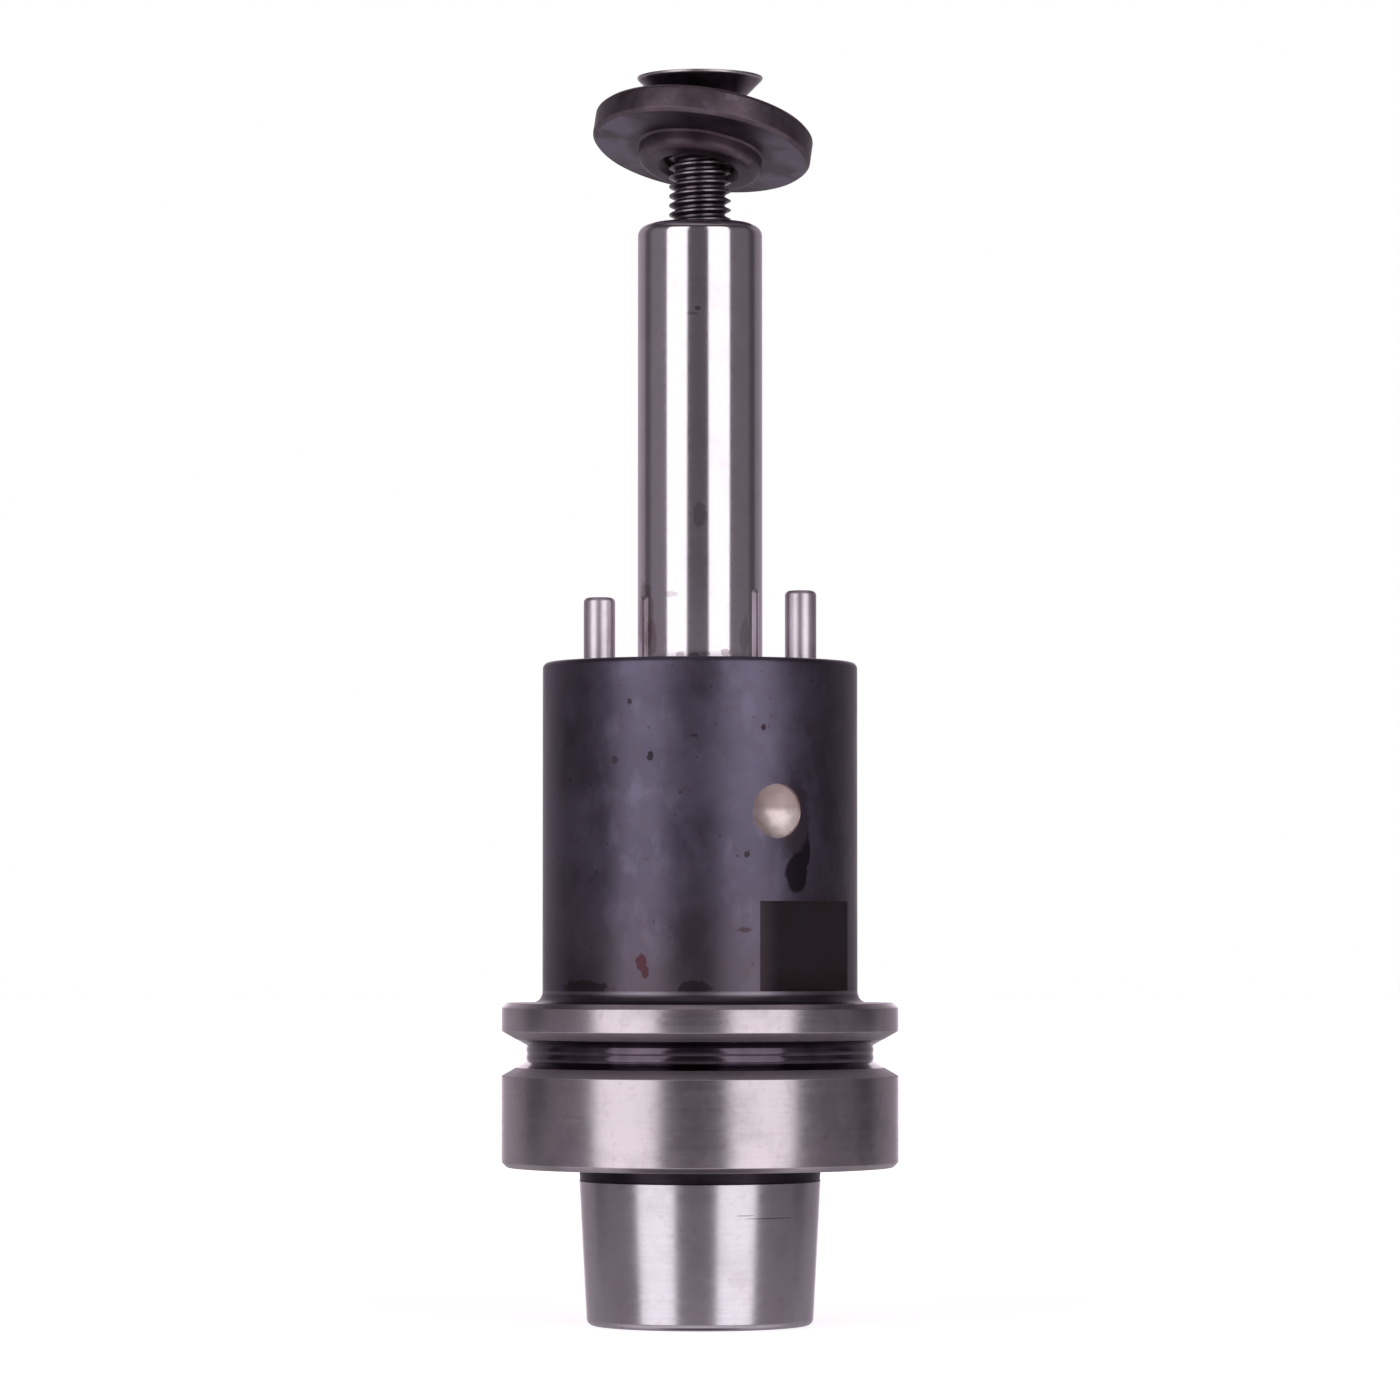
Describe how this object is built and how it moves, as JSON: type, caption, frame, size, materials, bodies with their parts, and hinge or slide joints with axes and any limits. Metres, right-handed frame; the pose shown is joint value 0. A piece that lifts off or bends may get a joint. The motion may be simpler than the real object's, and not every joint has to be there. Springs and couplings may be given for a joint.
{
  "type": "cutter arbor",
  "caption": "Cutter arbor: hollow taper shank with gripper flange, round body with drive pins, and a ground spindle whose countersunk screw clamps cutters through a cover washer.",
  "frame": {"origin": "centre of the flange's contact face, on the arbor's axis", "axes": "+Z along the axis from the contact face towards the spindle's end; the two drive pins lie on X"},
  "size_m": [0.063, 0.063, 0.1986],
  "materials": {
    "blackened_steel": "black-oxidised steel, ground bright on the flange rim and the taper",
    "ground_steel": "finely ground, near mirror",
    "pin_steel": "satin ground",
    "washer_steel": "brown-black oxide, turned",
    "screw_steel": "glossy black oxide with bright thread crests"
  },
  "bodies": {
    "arbor": {"holder": "blackened_steel", "spindle": "ground_steel", "drive_pin_left": "pin_steel", "drive_pin_right": "pin_steel"},
    "washer": {"clamping_washer": "washer_steel"},
    "screw": {"clamping_screw": "screw_steel"}
  },
  "joints": [
    {"name": "screw_feed", "type": "slide", "parent": "arbor", "child": "washer", "axis": [0, 0, 1], "range_m": [-0.0062, 0.1]},
    {"name": "screw_turn", "type": "hinge", "parent": "washer", "child": "screw", "pos_m": [0, 0, 0.148], "axis": [0, 0, 1], "range_deg": [-1260, 21600]}
  ],
  "couplings": [
    {"joint": "screw_feed", "follows": "screw_turn", "m_per_rad": 0.00023873}
  ]
}
